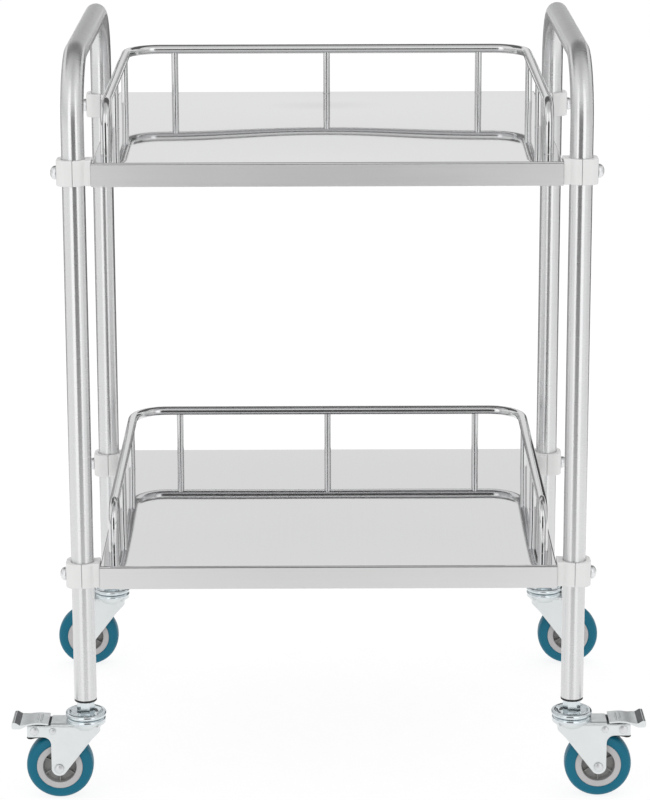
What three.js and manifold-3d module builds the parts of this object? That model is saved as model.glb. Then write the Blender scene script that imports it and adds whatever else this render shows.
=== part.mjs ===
// Two-shelf stainless instrument cart on four swivel casters.
// Units are millimetres. +Z is up, the floor is z = 0, the open front faces -Y and +X is the right.
// The origin is on the floor under the middle of the cart.

import * as THREE from "three";
import { mergeVertices } from "three/addons/utils/BufferGeometryUtils.js";
import Module from "manifold-3d";

const wasm = await Module();
wasm.setup();

// ---------------------------------------------------------------- driving dimensions

const gap = 0.3; // clearance between pieces that touch
const through = 80; // length of a drill that passes right through a caster
const cartHeight = 846; // floor to the top of the handles
const postSpan = 544; // left tube axis to right tube axis
const postDepth = 424; // front tube axis to rear tube axis

const tube = { radius: 12.5, wall: 1.2, bend: 70, end: 116 };

const shelf = { inset: 20, overhang: 16, rim: 26, sheet: 1.5, upperTop: 727, lowerTop: 275 };
const shelfWidth = postSpan - 2 * shelf.inset;
const shelfDepth = postDepth + 2 * shelf.overhang;

const rail = { radius: 5.5, height: 54, inset: 12.5, frontInset: 47, corner: 40, drop: 25 };
const baluster = { radius: 4, rear: [-183, 0, 183], side: [-20, 145] };

const clamp = { height: 28, halfWidth: 16, reach: 18, rise: 2, outerRound: 9, innerRound: 1 };
const bolt = { radius: 3, headRadius: 7.5, headHeight: 6.5, hole: 3.4, drop: 13 };
const boltDome = { shoulder: [0.93, 0.5], crest: [0.6, 0.87] }; // shares of head radius and height
const weldNut = { radius: 6.5, thickness: 4, sink: 0.1 };

const plug = { lip: 2.6, sleeve: 22, bore: 5.9 };

const wheel = { radius: 37.5, halfWidth: 12, rimRadius: 27.3, recessRadius: 18.5, trail: 30 };
const tread = { flat: 4, curve: [1, 8.5], shoulder: [3.6, 0.8], side: 6, groove: 1 };
const hub = { boreRadius: 4.4, bossRadius: 9, bossHalf: 13.3, webHalf: 4, rimHalf: 11 };
const axle = { radius: 4, headRadius: 5.5, headHeight: 3.2 };

const fork = { inner: 13.8, sheet: 2.5, top: 90, plate: 2.4, back: -22, knee: -6, kneeZ: 69, eye: 8.5 };
const forkOuter = fork.inner + fork.sheet;
const forkFront = wheel.trail + fork.eye;
const crown = { radius: 22, height: 4.5, bore: 4.4, edge: 1, skirt: 10, root: 15, wall: 3 };
const stem = { cupRadius: 23, cupWall: 2.5, roll: 1.4, collarRadius: 9.8, radius: 5.5, top: 152 };
const kingpin = { radius: 4, headRadius: 7, headHeight: 2.5 };

const wing = { reach: 65, bottom: 75, top: 88, fillet: 9, chamfer: 2 };
const brake = { pivot: 36.6, stop: 57, height: 82, pinRadius: 2.5, pivotHead: 3.8, stopHead: 4.8, head: 1.8 };
const pedal = { start: 41, flare: 66, end: 82, half: 16.5, toeHalf: 19, sheet: 2 };
const toe = { length: 8, dip: 3, ridge: 2.4, round: 1.5 };
const shoe = { half: 12.6, back: 1.5, hub: 4.1, reach: 1, drop: 3.5, thickness: 1.5 };

// ---------------------------------------------------------------- materials

const finish = (color, roughness, metalness) =>
  new THREE.MeshStandardMaterial({ color, roughness, metalness });

const stainless = finish(0xc9cbcc, 0.25, 1);
const polished = finish(0xd6d8d8, 0.12, 1);
const whitePlastic = finish(0xeeeeec, 0.45, 0);
const zinc = finish(0xd9dedf, 0.35, 1);
const blackPlastic = finish(0x1b1b1c, 0.5, 0);
const greyPlastic = finish(0xb9b7b8, 0.5, 0);
const tealRubber = finish(0x1b6f8c, 0.4, 0);

// ---------------------------------------------------------------- solids

function toSolid(geometry) {
  const bare = geometry.index ? geometry.toNonIndexed() : geometry.clone();
  bare.deleteAttribute("normal");
  bare.deleteAttribute("uv");
  const merged = mergeVertices(bare, 1e-4);
  return new wasm.Manifold(
    new wasm.Mesh({
      numProp: 3,
      vertProperties: new Float32Array(merged.attributes.position.array),
      triVerts: new Uint32Array(merged.index.array),
    })
  );
}

function toGeometry(solid) {
  const mesh = solid.getMesh();
  const geometry = new THREE.BufferGeometry();
  geometry.setAttribute("position", new THREE.BufferAttribute(mesh.vertProperties, 3));
  geometry.setIndex(new THREE.BufferAttribute(mesh.triVerts, 1));
  geometry.computeVertexNormals();
  return geometry;
}

const join = (...solids) => solids.reduce((sum, next) => sum.add(next));
const cut = (body, ...tools) => tools.reduce((rest, tool) => rest.subtract(tool), body);

function box(width, depth, height, x, y, z) {
  return toSolid(new THREE.BoxGeometry(width, depth, height).translate(x, y, z));
}

// A cylinder centred on (x, y, z) along one axis.
function rod(radius, length, along, x, y, z, sides = 12) {
  const geometry = new THREE.CylinderGeometry(radius, radius, length, sides);
  if (along === "x") geometry.rotateZ(Math.PI / 2);
  if (along === "z") geometry.rotateX(Math.PI / 2);
  return toSolid(geometry.translate(x, y, z));
}

// A turned solid about the Z axis from [radius, z] pairs that start and end on the axis or close.
function turned(profile, sides) {
  const points = profile.map(([radius, z]) => new THREE.Vector2(radius, z));
  return toSolid(new THREE.LatheGeometry(points, sides).rotateX(Math.PI / 2));
}

const turnedAlongY = (profile, sides) => turned(profile, sides).rotate([90, 0, 0]);

// A flat outline in the XZ plane, pushed along Y from y0 to y1.
function slab(shape, y0, y1, curveSegments = 4) {
  const options = { depth: y1 - y0, bevelEnabled: false, curveSegments };
  const geometry = new THREE.ExtrudeGeometry(shape, options);
  return toSolid(geometry.rotateX(Math.PI / 2).translate(0, y1, 0));
}

// A rod path of straight runs and round bends, with rings only where the path turns.
class BentPath extends THREE.Curve {
  constructor(corners, bends, bendSteps) {
    super();
    this.points = [corners[0].clone()];
    this.tangents = [corners[1].clone().sub(corners[0]).normalize()];
    bends.forEach((radius, i) => this.addBend(corners[i], corners[i + 1], corners[i + 2], radius, bendSteps));
    this.points.push(corners.at(-1).clone());
    this.tangents.push(this.tangents.at(-1).clone());
  }

  // Every bend is a quarter turn from the direction `from` to the direction `to`.
  addBend(before, corner, after, radius, steps) {
    const from = corner.clone().sub(before).normalize();
    const to = after.clone().sub(corner).normalize();
    const start = corner.clone().addScaledVector(from, -radius);
    for (let i = 0; i <= steps; i += 1) {
      const angle = (Math.PI / 2) * (i / steps);
      const point = start.clone().addScaledVector(from, radius * Math.sin(angle));
      this.points.push(point.addScaledVector(to, radius * (1 - Math.cos(angle))));
      const tangent = from.clone().multiplyScalar(Math.cos(angle));
      this.tangents.push(tangent.addScaledVector(to, Math.sin(angle)));
    }
  }

  get steps() {
    return this.points.length - 1;
  }

  getPointAt(u) {
    return this.points[Math.round(u * this.steps)].clone();
  }

  getTangentAt(u) {
    return this.tangents[Math.round(u * this.steps)].clone();
  }
}

function sweep(path, radius, sides) {
  const section = new THREE.Shape().absarc(0, 0, radius, 0, 2 * Math.PI);
  const options = { steps: path.steps, extrudePath: path, curveSegments: sides / 2, bevelEnabled: false };
  return toSolid(new THREE.ExtrudeGeometry(section, options));
}

// ---------------------------------------------------------------- frame

const postX = postSpan / 2;
const postY = postDepth / 2;
const handleZ = cartHeight - tube.radius;
const boltHeights = [shelf.upperTop - bolt.drop, shelf.lowerTop - bolt.drop];

const corners = [
  { name: "front_left", x: -postX, y: -postY },
  { name: "front_right", x: postX, y: -postY },
  { name: "rear_left", x: -postX, y: postY },
  { name: "rear_right", x: postX, y: postY },
];

function sideFrame(x) {
  const at = (y, z) => new THREE.Vector3(x, y, z);
  const route = (end) => [at(-postY, end), at(-postY, handleZ), at(postY, handleZ), at(postY, end)];
  const outer = new BentPath(route(tube.end), [tube.bend, tube.bend], 6);
  const inner = new BentPath(route(tube.end - 1), [tube.bend, tube.bend], 6);
  const holes = [-postY, postY].flatMap((y) =>
    boltHeights.map((z) => rod(bolt.hole, 3 * tube.radius, "x", x, y, z, 8))
  );
  return cut(sweep(outer, tube.radius, 12), sweep(inner, tube.radius - tube.wall, 12), ...holes);
}

function shelfPan(top) {
  const inside = [shelfWidth - 2 * shelf.sheet, shelfDepth - 2 * shelf.sheet, shelf.rim];
  const pan = cut(
    box(shelfWidth, shelfDepth, shelf.rim, 0, 0, top - shelf.rim / 2),
    box(...inside, 0, 0, top - shelf.sheet - shelf.rim / 2)
  );
  const faceX = shelfWidth / 2;
  const nutX = faceX - shelf.sheet - weldNut.thickness / 2 + weldNut.sink;
  const sites = [-1, 1].flatMap((side) => [-postY, postY].map((y) => ({ side, y })));
  const nuts = sites.map(({ side, y }) =>
    rod(weldNut.radius, weldNut.thickness, "x", side * nutX, y, top - bolt.drop, 6)
  );
  const holes = sites.map(({ side, y }) =>
    rod(bolt.hole, 4 * weldNut.thickness, "x", side * faceX, y, top - bolt.drop, 8)
  );
  return cut(join(pan, ...nuts), ...holes);
}

function guardRail(top) {
  const foot = top + gap;
  const x = shelfWidth / 2 - rail.inset;
  const front = -shelfDepth / 2 + rail.frontInset;
  const back = shelfDepth / 2 - rail.inset;
  const z = top + rail.height;
  const route = [
    new THREE.Vector3(-x, front, foot),
    new THREE.Vector3(-x, front, z),
    new THREE.Vector3(-x, back, z),
    new THREE.Vector3(x, back, z),
    new THREE.Vector3(x, front, z),
    new THREE.Vector3(x, front, foot),
  ];
  const bends = [rail.drop, rail.corner, rail.corner, rail.drop];
  const hoop = sweep(new BentPath(route, bends, 4), rail.radius, 10);
  const length = z - foot;
  const stand = (px, py) => rod(baluster.radius, length, "z", px, py, foot + length / 2, 8);
  const stands = baluster.rear.map((px) => stand(px, back));
  baluster.side.forEach((py) => stands.push(stand(-x, py), stand(x, py)));
  return join(hoop, ...stands);
}

// ---------------------------------------------------------------- corner clamps

// The halves are drawn about the tube axis with +X pointing away from the shelf.
function clampHalf(outward) {
  const reach = outward ? clamp.reach : shelf.inset - gap;
  const half = clamp.halfWidth;
  const round = outward ? clamp.outerRound : clamp.innerRound;
  const outline = new THREE.Shape();
  outline.moveTo(gap / 2, -half);
  outline.lineTo(reach - round, -half);
  outline.absarc(reach - round, -half + round, round, -Math.PI / 2, 0);
  outline.absarc(reach - round, half - round, round, 0, Math.PI / 2);
  outline.lineTo(gap / 2, half);
  const options = { depth: clamp.height, bevelEnabled: false, curveSegments: 2 };
  const block = toSolid(new THREE.ExtrudeGeometry(outline, options));
  const bore = rod(tube.radius + gap, 2 * clamp.height, "z", 0, 0, clamp.height / 2, 12);
  const boltZ = clamp.height - clamp.rise - bolt.drop;
  const hole = rod(bolt.hole, 4 * clamp.reach, "x", 0, 0, boltZ, 8);
  return cut(block, bore, hole);
}

function clampBolt() {
  const seat = clamp.reach + gap;
  const tip = -(shelf.inset + shelf.sheet + weldNut.thickness);
  const share = ([wide, high]) => [bolt.headRadius * wide, seat + bolt.headHeight * high];
  const dome = [
    [0, tip],
    [bolt.radius, tip],
    [bolt.radius, seat],
    [bolt.headRadius, seat],
    share(boltDome.shoulder),
    share(boltDome.crest),
    [0, seat + bolt.headHeight],
  ];
  return turned(dome, 10).rotate([0, 90, 0]);
}

// ---------------------------------------------------------------- casters
// Caster pieces are drawn about the stem axis with the wheel trailing towards +X.

function tubePlug() {
  const inner = tube.radius - tube.wall - gap;
  return turned(
    [
      [plug.bore, -plug.lip],
      [tube.radius, -plug.lip],
      [tube.radius, -gap],
      [inner, -gap],
      [inner, plug.sleeve],
      [plug.bore, plug.sleeve],
      [plug.bore, -plug.lip],
    ],
    12
  );
}

function casterStem() {
  const seat = fork.top + crown.height + gap;
  const floor = seat + stem.cupWall;
  const lip = stem.cupRadius;
  const collarTop = tube.end - plug.lip - gap;
  const collar = rod(stem.collarRadius, collarTop - floor + 1, "z", 0, 0, (collarTop + floor - 1) / 2, 6);
  const pinHeadTop = fork.top - fork.plate - gap;
  const cup = turned(
    [
      [0, pinHeadTop - kingpin.headHeight],
      [kingpin.headRadius, pinHeadTop - kingpin.headHeight],
      [kingpin.headRadius, pinHeadTop],
      [kingpin.radius, pinHeadTop],
      [kingpin.radius, seat],
      [lip - stem.roll, seat],
      [lip, seat + stem.roll],
      [lip, floor + 2 * stem.roll],
      [lip - stem.roll, floor + 3 * stem.roll],
      [lip - 3 * stem.roll, floor],
      [stem.radius, floor],
      [stem.radius, stem.top],
      [0, stem.top],
    ],
    16
  );
  return join(cup, collar);
}

function forkCheek(braked) {
  const outline = new THREE.Shape();
  const eyeX = wheel.trail;
  const eyeZ = wheel.radius;
  const fallX = eyeX - fork.knee;
  const fallZ = fork.kneeZ - eyeZ;
  const slope = Math.atan2(fallZ, fallX);
  const tangent = slope + Math.asin(fork.eye / Math.hypot(fallX, fallZ));
  const eyeStart = 1.5 * Math.PI - tangent;
  outline.moveTo(fork.back, fork.top);
  outline.lineTo(fork.back, fork.top - fork.plate);
  outline.lineTo(fork.knee, fork.kneeZ);
  outline.absarc(eyeX, eyeZ, fork.eye, eyeStart, 2 * Math.PI);
  if (braked) {
    const filletX = forkFront + wing.fillet;
    const filletZ = wing.bottom - wing.fillet;
    outline.absarc(filletX, filletZ, wing.fillet, Math.PI, Math.PI / 2, true);
    outline.lineTo(wing.reach - wing.chamfer, wing.bottom);
    outline.lineTo(wing.reach, wing.bottom + wing.chamfer);
    outline.lineTo(wing.reach, wing.top);
    outline.lineTo(forkFront, wing.top);
  }
  outline.lineTo(forkFront, fork.top);
  return outline;
}

function casterFork(braked) {
  const cheek = forkCheek(braked);
  const cheeks = [slab(cheek, -forkOuter, -fork.inner), slab(cheek, fork.inner, forkOuter)];
  const plateLength = forkFront - fork.back;
  const plateX = (forkFront + fork.back) / 2;
  const plateZ = fork.top - fork.plate / 2;
  const plate = box(plateLength, 2 * forkOuter, fork.plate, plateX, 0, plateZ);
  const underside = fork.top - fork.plate;
  const skirtZ = fork.top - crown.skirt;
  const bowl = turned(
    [
      [crown.root - crown.wall, skirtZ],
      [crown.root, skirtZ],
      [crown.radius, fork.top - crown.edge],
      [crown.radius, fork.top + crown.height],
      [crown.bore, fork.top + crown.height],
      [crown.bore, underside],
      [crown.root - crown.wall, underside],
      [crown.root - crown.wall, skirtZ],
    ],
    16
  );
  // Behind the stem axis the plate and cheeks keep inside the crown's circle.
  const round = rod(crown.radius, 2 * fork.top, "z", 0, 0, fork.top, 16);
  const ahead = box(through, through, 2 * fork.top, through / 2, 0, fork.top);
  const channel = join(plate, ...cheeks).intersect(join(round, ahead));
  const holes = [
    rod(crown.bore, 2 * crown.skirt, "z", 0, 0, fork.top, 8),
    rod(axle.radius + gap, through, "y", wheel.trail, 0, wheel.radius, 10),
  ];
  if (braked) {
    const pins = [brake.pivot, brake.stop];
    pins.forEach((x) => holes.push(rod(brake.pinRadius + gap, through, "y", x, 0, brake.height, 8)));
  }
  return cut(join(channel, bowl), ...holes);
}

// A rivet along Y through both cheeks, with a low domed head at each end.
function rivet(radius, headRadius, headHeight, sides) {
  const seat = forkOuter + gap;
  const half = [
    [radius, seat],
    [headRadius, seat],
    [headRadius * 0.9, seat + headHeight * 0.6],
    [0, seat + headHeight],
  ];
  const mirrored = half.map(([r, y]) => [r, -y]).reverse();
  return turnedAlongY([...mirrored, ...half], sides);
}

function wheelHub() {
  const { boreRadius, bossRadius, bossHalf, webHalf, rimHalf } = hub;
  const half = [
    [wheel.rimRadius, rimHalf],
    [wheel.recessRadius, rimHalf],
    [wheel.recessRadius, webHalf],
    [bossRadius, webHalf],
    [bossRadius, bossHalf],
    [boreRadius, bossHalf],
  ];
  const mirrored = half.map(([r, y]) => [r, -y]).reverse();
  return turnedAlongY([...mirrored, ...half, mirrored[0]], 16);
}

function tyre() {
  const bore = wheel.rimRadius + gap;
  const half = [
    [wheel.radius, tread.flat],
    [wheel.radius - tread.curve[0], tread.curve[1]],
    [wheel.radius - tread.shoulder[0], wheel.halfWidth - tread.shoulder[1]],
    [wheel.radius - tread.side, wheel.halfWidth],
    [bore, wheel.halfWidth - tread.groove],
  ];
  const mirrored = half.map(([r, y]) => [r, -y]).reverse();
  return turnedAlongY([...mirrored, ...half, mirrored[0]], 24);
}

// A pressed strip over the wings, which dips before its turned-up toe.
function pedalStrip(low) {
  const high = low + pedal.sheet;
  const dipX = pedal.end - toe.length;
  const ridgeX = pedal.end - toe.length / 2;
  const strip = new THREE.Shape();
  strip.moveTo(pedal.start, low);
  strip.lineTo(pedal.flare, low);
  strip.lineTo(dipX, low - toe.dip);
  strip.lineTo(pedal.end - toe.round, low - toe.dip);
  strip.lineTo(pedal.end, low - toe.round);
  strip.lineTo(pedal.end - toe.round, high + toe.ridge);
  strip.lineTo(ridgeX, high + toe.ridge);
  strip.lineTo(dipX, high - toe.dip);
  strip.lineTo(pedal.flare, high);
  strip.lineTo(pedal.start, high);
  const ahead = box(through, through, through, pedal.flare + through / 2, 0, low);
  const narrow = slab(strip, -pedal.half, pedal.half);
  return join(narrow, slab(strip, -pedal.toeHalf, pedal.toeHalf).intersect(ahead));
}

// The part under the strip: a hub round the pivot pin and a shoe over the tyre.
function brakeArm(low) {
  const sunk = low + pedal.sheet / 4;
  const hubX = brake.pivot - shoe.hub;
  const frontX = forkFront + shoe.back;
  const endX = wing.reach - shoe.reach;
  const web = new THREE.Shape();
  web.moveTo(hubX, brake.height - shoe.drop);
  web.lineTo(frontX, wing.bottom - shoe.back / 2);
  web.lineTo(endX, wing.bottom - shoe.drop);
  web.lineTo(endX, wing.bottom - shoe.drop + shoe.thickness);
  web.lineTo(frontX + shoe.hub, wing.bottom + shoe.thickness);
  web.lineTo(frontX + shoe.hub, sunk);
  web.lineTo(pedal.start, sunk);
  web.lineTo(pedal.start, brake.height + shoe.hub);
  web.lineTo(hubX, brake.height + shoe.drop);
  return slab(web, -shoe.half, shoe.half);
}

function brakePedal() {
  const low = wing.top + 2 * gap;
  const pivotHole = rod(brake.pinRadius + gap, through, "y", brake.pivot, 0, brake.height, 8);
  return cut(join(pedalStrip(low), brakeArm(low)), pivotHole);
}

// ---------------------------------------------------------------- assembly

const cart = new THREE.Group();

function place(parent, name, solid, material) {
  const mesh = new THREE.Mesh(toGeometry(solid), material);
  mesh.name = name;
  parent.add(mesh);
  return mesh;
}

function turnedGroup(x, y, z) {
  const group = new THREE.Group();
  group.position.set(x, y, z);
  if (x < 0) group.rotation.z = Math.PI;
  cart.add(group);
  return group;
}

place(cart, "left_side_frame", sideFrame(-postX), stainless);
place(cart, "right_side_frame", sideFrame(postX), stainless);

for (const [level, top] of [["upper", shelf.upperTop], ["lower", shelf.lowerTop]]) {
  place(cart, `${level}_shelf`, shelfPan(top), polished);
  place(cart, `${level}_guard_rail`, guardRail(top), stainless);
  for (const corner of corners) {
    const joint = turnedGroup(corner.x, corner.y, top + clamp.rise - clamp.height);
    const boltZ = clamp.height - clamp.rise - bolt.drop;
    const inner = clampHalf(false).rotate([0, 0, 180]);
    place(joint, `clamp_outer_${level}_${corner.name}`, clampHalf(true), whitePlastic);
    place(joint, `clamp_inner_${level}_${corner.name}`, inner, whitePlastic);
    const screw = place(joint, `clamp_bolt_${level}_${corner.name}`, clampBolt(), zinc);
    screw.position.z = boltZ;
  }
}

for (const corner of corners) {
  const braked = corner.y < 0;
  const caster = turnedGroup(corner.x, corner.y, 0);
  const pegged = [
    ["wheel_axle", rivet(axle.radius, axle.headRadius, axle.headHeight, 10), wheel.trail, wheel.radius, zinc],
    ["wheel_hub", wheelHub(), wheel.trail, wheel.radius, greyPlastic],
    ["tyre", tyre(), wheel.trail, wheel.radius, tealRubber],
  ];
  if (braked) {
    const pivot = rivet(brake.pinRadius, brake.pivotHead, brake.head, 8);
    const stop = rivet(brake.pinRadius, brake.stopHead, brake.head, 8);
    pegged.push(["brake_pivot_pin", pivot, brake.pivot, brake.height, zinc]);
    pegged.push(["brake_stop_rivet", stop, brake.stop, brake.height, zinc]);
    pegged.push(["brake_pedal", brakePedal(), 0, 0, zinc]);
  }
  place(caster, `tube_plug_${corner.name}`, tubePlug(), blackPlastic).position.z = tube.end;
  place(caster, `caster_stem_${corner.name}`, casterStem(), zinc);
  place(caster, `caster_fork_${corner.name}`, casterFork(braked), zinc);
  for (const [name, solid, x, z, material] of pegged) {
    place(caster, `${name}_${corner.name}`, solid, material).position.set(x, 0, z);
  }
}

export default cart;
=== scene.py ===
"""A two-shelf stainless instrument cart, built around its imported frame. Metres, +Z up, open front to -Y."""

import math
from types import SimpleNamespace as Sizes

import bmesh
import bpy
from mathutils import Matrix, Vector


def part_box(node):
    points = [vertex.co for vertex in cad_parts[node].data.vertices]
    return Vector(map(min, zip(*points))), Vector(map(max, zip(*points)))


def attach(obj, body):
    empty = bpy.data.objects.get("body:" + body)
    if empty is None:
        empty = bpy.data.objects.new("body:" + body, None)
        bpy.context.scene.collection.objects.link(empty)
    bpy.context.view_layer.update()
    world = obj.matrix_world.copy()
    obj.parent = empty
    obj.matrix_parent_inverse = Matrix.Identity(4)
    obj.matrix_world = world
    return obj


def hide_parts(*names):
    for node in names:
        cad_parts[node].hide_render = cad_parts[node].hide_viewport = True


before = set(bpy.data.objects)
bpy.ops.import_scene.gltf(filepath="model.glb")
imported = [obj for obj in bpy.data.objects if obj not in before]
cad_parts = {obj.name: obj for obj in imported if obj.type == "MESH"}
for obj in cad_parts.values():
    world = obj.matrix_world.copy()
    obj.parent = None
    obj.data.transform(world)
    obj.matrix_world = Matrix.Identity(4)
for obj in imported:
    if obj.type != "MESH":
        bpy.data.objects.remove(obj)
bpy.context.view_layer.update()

MM = 0.001
CORNERS = ("front_left", "front_right", "rear_left", "rear_right")
LEVELS = ("upper", "lower")

# ---------------------------------------------------------------- sizes the frame's boxes don't give

HANDLE_BEND = 70 * MM
TUBE_WALL = 1.2 * MM

SHEET = 1.5 * MM
SHELF_BEND = 2.0 * MM
SAG_RATE = 14.0  # radians per metre, front to back
SAG_CENTRE = -76 * MM
SAG_PERIOD = 360 * MM
SAG_SLOPES = {"upper": Sizes(lean=-0.0134, sway=0.009), "lower": Sizes(lean=0.0045, sway=0.002)}
RIPPLE = Sizes(height=0.05 * MM, across=23, along=17, start=0.6)

ROD = Sizes(radius=5.5 * MM, corner=40 * MM, drop=25 * MM, bead=0.5 * MM)
BALUSTER_RADIUS = 4.0 * MM
REAR_BALUSTERS = (-183 * MM, 0.0, 183 * MM)
SIDE_BALUSTERS = (-20 * MM, 145 * MM)

CLAMP = Sizes(nose=10 * MM, edge=1.3 * MM, play=0.1 * MM, turn=42, flare=1.5 * MM)
BOLT = Sizes(shaft=3 * MM, height=6.5 * MM, shoulder=1.2 * MM, socket=2.6 * MM, rim=0.3 * MM, depth=3 * MM)

PLUG = Sizes(lip=2.3 * MM, hole=5.9 * MM, height=24 * MM, play=0.3 * MM, edge=0.5 * MM)
STEM = Sizes(gap=0.3 * MM, dish=1.6 * MM, head=7 * MM, pin=4 * MM, shaft=5.5 * MM, top=152 * MM)
CUP_LIP = Sizes(radius=2.8 * MM, height=3.1 * MM)
COLLAR = Sizes(apothem=8.5 * MM, chamfer=1.4 * MM)
CROWN = Sizes(height=4.5 * MM, rim=22.2 * MM, bead=2.9 * MM, root=12 * MM, wall=3 * MM, bore=4.4 * MM)
FORK = Sizes(sheet=2.5 * MM, bend=4.0 * MM, plate=2.4 * MM, plan=21.6 * MM, eye=8.5 * MM)
KNEE = (-7 * MM, 72 * MM)
WING = Sizes(low=75 * MM, high=88 * MM, fillet=9 * MM, round=1.4 * MM)
AXLE = Sizes(shaft=4 * MM, head=5.3 * MM, height=3.2 * MM, seat=3.5 * MM)
PIN = Sizes(shaft=2.5 * MM, height=1.8 * MM)
PIN_HEADS = {"brake_pivot_pin": 3.8 * MM, "brake_stop_rivet": 4.8 * MM}
HUB = Sizes(inset=1.5 * MM, half=11 * MM, recess=18.8 * MM, boss=8.5 * MM, web=3.5 * MM, bore=4.4 * MM)
HUB_RIBS = 6
PEDAL = Sizes(start=41 * MM, sheet=1.8 * MM, top=91.2 * MM, skirt=5.6 * MM, neck=16.5 * MM, nose=2.6 * MM)
HUMP = Sizes(height=0.8 * MM, x=53 * MM, width=7 * MM)
DIP = Sizes(depth=1.0 * MM, x=58 * MM, before_end=11 * MM)
TOE = Sizes(ridge=10 * MM, crest=3.4 * MM, rise=3.0 * MM)
GRIP_RIBS = (49.5 * MM, 53.5 * MM)
SHOE_HALF = 12.6 * MM


# ---------------------------------------------------------------- frame positions

def middle(node):
    lo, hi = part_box(node)
    return (lo + hi) / 2


def reach(node):
    lo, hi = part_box(node)
    return (hi - lo) / 2


def corner_place(corner):
    """The matrix that takes caster coordinates (stem at the origin, wheel trailing to +X) to the cart."""
    centre = middle(f"tube_plug_{corner}")
    turn = math.pi if centre.x < 0 else 0.0
    return Matrix.Translation((centre.x, centre.y, 0)) @ Matrix.Rotation(turn, 4, "Z")


# ---------------------------------------------------------------- mesh tools

def mark_sharp(bm, degrees):
    limit = math.radians(degrees)
    for face in bm.faces:
        face.smooth = True
    for edge in bm.edges:
        if len(edge.link_faces) == 2:
            edge.smooth = edge.calc_face_angle(0) < limit


def link_object(name, bm):
    mesh = bpy.data.meshes.new(name)
    bm.to_mesh(mesh)
    bm.free()
    obj = bpy.data.objects.new(name, mesh)
    bpy.context.scene.collection.objects.link(obj)
    return obj


def settle(obj, sharp=35):
    """Applies every modifier, so that the mesh is the final one."""
    bpy.context.view_layer.update()
    evaluated = obj.evaluated_get(bpy.context.evaluated_depsgraph_get())
    mesh = bpy.data.meshes.new_from_object(evaluated)
    obj.modifiers.clear()
    obj.data = mesh
    bm = bmesh.new()
    bm.from_mesh(mesh)
    bmesh.ops.remove_doubles(bm, verts=bm.verts, dist=0.005 * MM)
    mark_sharp(bm, sharp)
    bm.to_mesh(mesh)
    bm.free()
    return obj


def boolean(obj, other, operation):
    modifier = obj.modifiers.new(operation, "BOOLEAN")
    modifier.operation = operation
    modifier.solver = "EXACT"
    modifier.object = other
    settle(obj)
    bpy.data.objects.remove(other)
    return obj


def bevel(obj, width, segments=3, degrees=40):
    modifier = obj.modifiers.new("edge", "BEVEL")
    modifier.width = width
    modifier.segments = segments
    modifier.limit_method = "ANGLE"
    modifier.angle_limit = math.radians(degrees)
    return settle(obj)


def even_normals(obj):
    """Keeps big flat faces flat in the shading where a small rounded edge meets them."""
    modifier = obj.modifiers.new("normals", "WEIGHTED_NORMAL")
    modifier.keep_sharp = True
    modifier.weight = 100


def arc(cx, cy, radius, start, end, steps=12):
    """Points of a round stretch, with angles in degrees."""
    angles = [math.radians(start + (end - start) * i / steps) for i in range(steps + 1)]
    return [(cx + radius * math.cos(a), cy + radius * math.sin(a)) for a in angles]


def fillet(points, radius, steps=5, closed=True):
    """Rounds the corners of a 2-D outline. An entry (x, y, r) has a radius of its own."""
    out = []
    count = len(points)
    for i, entry in enumerate(points):
        size = entry[2] if len(entry) > 2 else radius
        here = Vector(entry[:2])
        if size == 0 or (not closed and i in (0, count - 1)):
            out.append(tuple(here))
            continue
        before = Vector(points[i - 1][:2]) - here
        after = Vector(points[(i + 1) % count][:2]) - here
        half = before.angle(after) / 2
        cut = min(size / math.tan(half), 0.49 * before.length, 0.49 * after.length)
        start = here + before.normalized() * cut
        end = here + after.normalized() * cut
        for step in range(steps + 1):
            t = step / steps
            bend = start.lerp(here, t).lerp(here.lerp(end, t), t)
            out.append(tuple(bend))
    return out


def skin(bm, rings, loop=False, caps=True):
    """Joins rings of points into a surface. UV: u is the length along it in metres, v goes round."""
    layer = bm.loops.layers.uv.verify()
    rows = [[bm.verts.new(p) for p in ring] for ring in rings]
    lengths = [0.0]
    for a, b in zip(rings, rings[1:]):
        lengths.append(lengths[-1] + (a[0] - b[0]).length)
    pairs = list(zip(range(len(rows) - 1), range(1, len(rows))))
    if loop:
        pairs.append((len(rows) - 1, 0))
        lengths.append(lengths[-1] + (rings[-1][0] - rings[0][0]).length)
    sides = len(rings[0])
    for a, b in pairs:
        far = lengths[a + 1] if loop else lengths[b]
        for k in range(sides):
            n = (k + 1) % sides
            face = bm.faces.new((rows[a][k], rows[a][n], rows[b][n], rows[b][k]))
            uv = ((lengths[a], k), (lengths[a], k + 1), (far, k + 1), (far, k))
            for corner, (u, v) in zip(face.loops, uv):
                corner[layer].uv = (u, v / sides)
    if caps and not loop:
        bm.faces.new(rows[0])
        bm.faces.new(reversed(rows[-1]))


def bent_route(corners, bends, steps):
    """Points and directions of a rod with quarter-turn bends at the inner corners."""
    corners = [Vector(c) for c in corners]
    first = (corners[1] - corners[0]).normalized()
    route = [(corners[0], first)]
    for i, radius in enumerate(bends):
        before, here, after = corners[i : i + 3]
        came = (here - before).normalized()
        goes = (after - here).normalized()
        for step in range(steps + 1):
            angle = math.pi / 2 * step / steps
            s, c = math.sin(angle), math.cos(angle)
            point = here - came * radius * (1 - s) + goes * radius * (1 - c)
            route.append((point, (came * c + goes * s).normalized()))
    route.append((corners[-1], route[-1][1]))
    return route


def long_runs(route, spacing):
    """Adds stations on the straight runs, so that shading and texture stay even."""
    out = [route[0]]
    for (a, _), (b, way) in zip(route, route[1:]):
        count = max(1, round((b - a).length / spacing))
        start = out[-1][1]
        for i in range(1, count + 1):
            out.append((a.lerp(b, i / count), way if i == count else start))
    return out


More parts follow.
